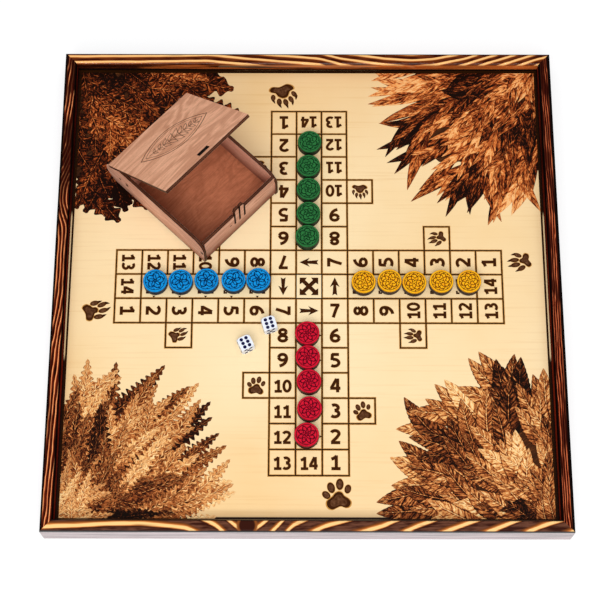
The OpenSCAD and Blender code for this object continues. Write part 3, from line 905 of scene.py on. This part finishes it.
def make_token_lines(colour, material):
    """A rosette inside each token's ring, and short strokes between the two."""
    curves, strokes = ROSETTES[colour]
    for k in range(1, TOKENS + 1):
        node = f"token_{colour}_{k}"
        low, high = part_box(node)
        centre, radius = (low + high) / 2, (high.x - low.x) / 2
        turn = TOKEN_TURN * k
        marks = Marks(high.z + TOKEN_LIFT)
        for n, wave in enumerate(curves):
            points = placed(closed_wave(*wave), centre, turn + CURVE_TURN * n, radius)
            marks.ribbon(points, LINE if n else FIRST_LINE, closed=True)
        for i in range(strokes):
            stroke = placed(STROKES[i % 2], centre, turn + 360 * i / strokes, radius)
            marks.ribbon(stroke, LINE)
        marks.piece(f"{node}_rosette", material, node, f"token_{colour}")


# Dice

# Places of the pips in columns and rows, the distance between these, and the turns about X and Y of each face
CORNER_PIPS = [(-1, -1), (1, 1), (-1, 1), (1, -1)]
PIPS = {6: CORNER_PIPS + [(-1, 0), (1, 0)], 5: CORNER_PIPS + [(0, 0)], 4: CORNER_PIPS,
        3: CORNER_PIPS[:2] + [(0, 0)], 2: CORNER_PIPS[:2], 1: [(0, 0)]}
PIP_COLUMN, PIP_ROW = 2.28 * MM, 3.6 * MM
RIM, RIM_WIDTH = 2.8 * MM, 0.35 * MM
DIE_FACES = {6: (0, 0), 1: (180, 0), 5: (90, 0), 2: (-90, 0), 4: (0, 90), 3: (0, -90)}


def make_pip_rims(material):
    """Paint around each pip's dent."""
    for node, turn in DIE_TURN.items():
        low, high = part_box(node)
        marks = Marks((high.z - low.z) / 2 + DIE_LIFT)
        for number, (about_x, about_y) in DIE_FACES.items():
            first = len(marks.verts)
            for column, row in PIPS[number]:
                marks.ribbon(ellipse(column * PIP_COLUMN, row * PIP_ROW, RIM, RIM), RIM_WIDTH, closed=True)
            lie = Matrix.Translation((low + high) / 2)
            for angle, axis in ((turn, "Z"), (about_y, "Y"), (about_x, "X")):
                lie = lie @ Matrix.Rotation(radians(angle), 4, axis)
            marks.move(lambda *point: lie @ Vector(point), first)
        marks.piece(f"{node}_pip_rims", material, node, "die_plastic")


# The box

def on_box(u, v, w):
    """Place of a point that is given in the box's own frame."""
    return BOX_AT + Matrix.Rotation(BOX_TURN, 3, "Z") @ Vector((u, v, w))


def on_lid(u, v, w):
    """Place of a point of the closed lid, in the box's own frame, where the lid stands open."""
    return on_box(*(Matrix.Rotation(-LID_OPEN, 3, "X") @ (Vector((u, v, w)) - LID_PIN) + LID_PIN))


def make_lid_engraving(material):
    """A pointed oval with a sprig inside it."""
    middle, turn = (48.5 * MM, 55 * MM), -12
    half_l, half_w = 36 * MM, 20 * MM
    rib, gap, leaf_turn = 27 * MM, 5.6 * MM, 58
    marks = Marks(LID_TOP + BOX_LIFT)
    steps = [i / 16 for i in range(-16, 16)]
    for edge, width in ((1.0, 1.0 * MM), (0.86, 0.6 * MM)):
        outline = [(half_l * edge * t, half_w * edge * (1 - t * t)) for t in steps]
        outline += [(-x, -y) for x, y in outline]
        marks.ribbon(placed(outline, middle, turn), width, closed=True)
    marks.ribbon(placed([(-rib, 0), (rib, 0)], middle, turn), 0.7 * MM)
    leaf = [(0, 0), (0.25, 0.15), (0.5, 0.18), (0.8, 0.1), (1, 0), (0.8, -0.1), (0.5, -0.18), (0.25, -0.15)]
    for k in range(-4, 5):
        for side in (-1, 1):
            size = (13.5 - abs(k) * 1.9) * MM
            at = placed([(k * gap, 0)], middle, turn)[0]
            marks.ribbon(placed(leaf, at, turn + side * leaf_turn, size), 0.6 * MM, closed=True)
    marks.move(on_lid)
    marks.piece("lid_ornament", material, "lid", "box_plywood")


def make_knot(material):
    """A small dark knot on the front wall's outer face."""
    marks = Marks(0)
    marks.polygon(ellipse(35.5 * MM, 21 * MM, 2.4 * MM, 1.7 * MM))
    marks.move(lambda x, z, _: on_box(x, FRONT_WALL - BOX_LIFT, z))
    marks.piece("box_knot", material, "storage_box", "box_plywood")


# Outline of the latch's right half, in mm from the front wall's middle and from its foot
LATCH = [(6.7, 35), (6.7, 17), (5.5, 17), (5.5, 39), (6.0, 39.5), (6.0, 40.5), (4.5, 44), (1.6, 44),
         (0.6, 43), (0.6, 17)]


def make_latch_edges(material):
    """Dark lines along the slits and prongs on the front wall's outer face: their burnt edges, widened as
    painted shade of the slit openings.
    """
    marks = Marks(0)
    for side in (-1, 1):
        marks.ribbon([(BOX_WIDTH / 2 + side * x * MM, z * MM) for x, z in LATCH], 0.8 * MM)
    marks.move(lambda x, z, lift: on_box(x, FRONT_WALL - BOX_LIFT - lift, z))
    marks.piece("latch_edges", material, "storage_box", "box_plywood")


# Stage

# Half the floor's width
FLOOR = 14.0


def make_stage():
    """A floor that keeps the object's shadow, and far away is as white as the world."""
    s = Shader("floor_white", specular=0.0)
    light = s.new("LightPath").outputs
    seen = s.most(light["Is Camera Ray"], light["Is Glossy Ray"])
    far = s.step(s.length(s.place), 1.0, 5.0)
    s.set("Emission Color", (1, 1, 1, 1))
    s.set("Emission Strength", s.times(seen, s.math("MULTIPLY_ADD", far, 0.25, 0.7)))
    corners = [(-FLOOR, -FLOOR, 0), (FLOOR, -FLOOR, 0), (FLOOR, FLOOR, 0), (-FLOOR, FLOOR, 0)]
    add_mesh("floor", corners, [(0, 1, 2, 3)], s.colour((0.36, 0.36, 0.365, 1)))


# Lamps that look at the middle of the board: place, width and depth, power
LAMPS = (
    ("key", (-0.3, -1.25, 1.85), 1.3, 1.3, 19.0),
    ("top", (0.3, -0.5, 2.3), 1.2, 1.2, 13.0),
    ("strip", (0.1, -1.6, 1.5), 2.2, 0.05, 6.0),
)


def make_lights():
    world = bpy.data.worlds.new("studio")
    scene.world = world
    world.use_nodes = True
    nodes = Nodes(world.node_tree)
    background = world.node_tree.nodes["Background"].inputs
    background["Color"].default_value = (1, 1, 1, 1)
    light = nodes.new("LightPath").outputs
    seen = nodes.most(light["Is Camera Ray"], light["Is Glossy Ray"], light["Is Transmission Ray"])
    nodes.put(background["Strength"], nodes.new("MapRange", (seen, 0.0, 1.0, 0.5, 1.0)).outputs[0])
    for name, place, size, depth, power in LAMPS:
        lamp = bpy.data.lights.new(name, "AREA")
        lamp.shape = "RECTANGLE"
        lamp.energy = power
        lamp.size, lamp.size_y = size, depth
        obj = add_object(name, lamp)
        obj.location = place
        obj.rotation_euler = (-Vector(place)).to_track_quat("-Z", "Y").to_euler()


def make_camera():
    data = bpy.data.cameras.new("camera")
    data.lens = CAMERA_LENS
    data.clip_end = 20
    camera = add_object("camera", data)
    turn = Matrix.Rotation(radians(CAMERA_TURN.length), 4, CAMERA_TURN.normalized())
    camera.matrix_world = Matrix.Translation(CAMERA_AT) @ turn
    scene.camera = camera


make_camera()
make_lights()
make_stage()
scene.view_settings.view_transform = "Standard"

dress("panel", panel_material())
for node, look in RAILS.items():
    dress(node, rail_material(node, **look))
dress("corner_nails", steel_material())

# Paint, worn paint, side's dark and pale wood, and engraved lines
PAINTS = {
    "green": ((40, 114, 56), (28, 90, 44), (4, 20, 12), (12, 44, 26), (6, 44, 20)),
    "red": ((214, 12, 46), (172, 4, 36), (24, 2, 6), (60, 6, 18), (88, 0, 22)),
    "blue": ((6, 150, 226), (0, 118, 194), (8, 14, 26), (24, 40, 64), (0, 40, 84)),
    "yellow": ((250, 184, 18), (242, 158, 8), (28, 18, 20), (66, 52, 52), (122, 60, 4)),
}
for colour, tones in PAINTS.items():
    *paints, line = (rgb(*tone) for tone in tones)
    material = token_material(colour, *paints)
    for k in range(1, TOKENS + 1):
        dress(f"token_{colour}_{k}", material)
    make_token_lines(colour, line_material(f"token_{colour}_line", line))
for node in DIE_TURN:
    dress(node, die_material(node))

# What ply_material is told of each sheet of the box
ACROSS, FRONT, UP = (1, 0, 0), (0, 1, 0), (0, 0, 1)
SIDE_FIGURE, FRONT_FIGURE, LUG_FIGURE = (40, 10, 110), (10, 40, 110), (40, 12, 90)
# Tone of the painted shade on the box's sheets, and its direction, reach and depth on each: the walls' feet,
# the lower right and front walls, and the floor by the left wall
SHADE_TONE = rgb(120, 64, 46)
LOW_SHADE = (UP, 14 * MM, 0.5, SHADE_TONE)
LID_AXIS = (0, sin(LID_OPEN), cos(LID_OPEN))
LID_RUN = (0, cos(LID_OPEN), -sin(LID_OPEN))
LID_SLOT = LID_PIN.dot(Vector(LID_RUN)) + SLOT_Y - LID_PIN.y
LID_MIDDLE = LID_PIN.dot(Vector(LID_AXIS)) + LID_TOP - PLY / 2 - LID_PIN.z
BOX_SHEETS = {
    "box_side_left": (ACROSS, PLY / 2, SIDE_FIGURE, 0.6, LOW_SHADE),
    "box_side_right": (ACROSS, BOX_WIDTH - PLY / 2, SIDE_FIGURE, 0.3, (UP, 32 * MM, 0.9, SHADE_TONE)),
    "box_front": (FRONT, FRONT_WALL + PLY / 2, FRONT_FIGURE, 0.6, (UP, 22 * MM, 0.9, SHADE_TONE),
                  (UP, 25 * MM, 9.6 * MM)),
    "box_back": (FRONT, BACK_WALL + PLY / 2, FRONT_FIGURE, 0.6, LOW_SHADE),
    "box_floor": (UP, PLY / 2, (24, 44, 44), 0.35, (ACROSS, 56 * MM, 0.55, rgb(66, 22, 4)), None,
                  (rgb(190, 119, 86), rgb(134, 74, 48))),
    "lid_plate": (LID_AXIS, LID_MIDDLE, (10, 30, 30), 0.6, None, (LID_RUN, LID_SLOT, 2.6 * MM),
                  (rgb(253, 191, 154), rgb(190, 124, 90))),
    "lid_lug_left": (ACROSS, LUG_MIDDLE, LUG_FIGURE, 0.5),
    "lid_lug_right": (ACROSS, BOX_WIDTH - LUG_MIDDLE, LUG_FIGURE, 0.5),
}
for node, sheet in BOX_SHEETS.items():
    dress(node, ply_material(f"{node}_plywood", *sheet))
for node in ("hinge_pin_left", "hinge_pin_right"):
    dress(node, ply_material(f"{node}_wood", ACROSS, 0.0, (12, 300, 300), 0.6))

burnt, scorched = burnt_material(), scorched_material()
make_line_borders(scorched)
make_numbers(burnt, scorched)
make_arrows(burnt)
make_start_marks(burnt)
make_paws(burnt, worn_material(), scorched)
make_foliage(leaf_material(), shade_material())
make_lid_engraving(line_material("lid_line", rgb(126, 82, 56)))
make_knot(burnt)
make_latch_edges(line_material("latch_edge", rgb(34, 14, 8)))
make_pip_rims(line_material("pip_paint", rgb(2, 8, 80)))
